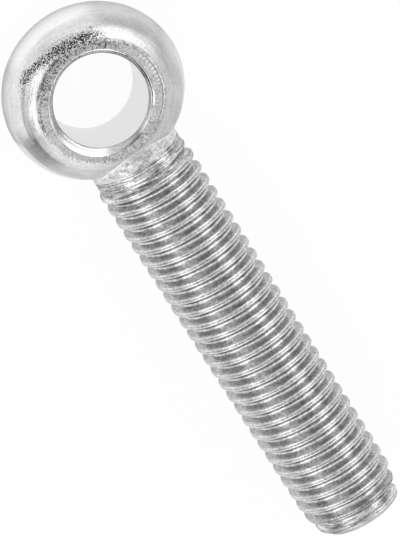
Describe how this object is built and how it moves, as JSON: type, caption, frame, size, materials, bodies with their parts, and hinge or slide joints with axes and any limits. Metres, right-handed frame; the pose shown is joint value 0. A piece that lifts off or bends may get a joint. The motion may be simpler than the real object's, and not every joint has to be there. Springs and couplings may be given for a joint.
{
  "type": "swing eye bolt",
  "caption": "Swing eye bolt with a round eye, a chamfered cross bore between two flats, a short neck and a fully threaded shank with a tapered end.",
  "frame": {"origin": "centre of the eye's bore, midway between its two flats", "axes": "+X along the shank from the eye to its end, +Z along the bore, upwards as the bolt lies"},
  "size_m": [0.0598, 0.018, 0.01],
  "materials": {
    "steel": "bright forged and rolled stainless steel"
  },
  "bodies": {
    "root": {"eye_bolt": "steel"}
  },
  "joints": []
}
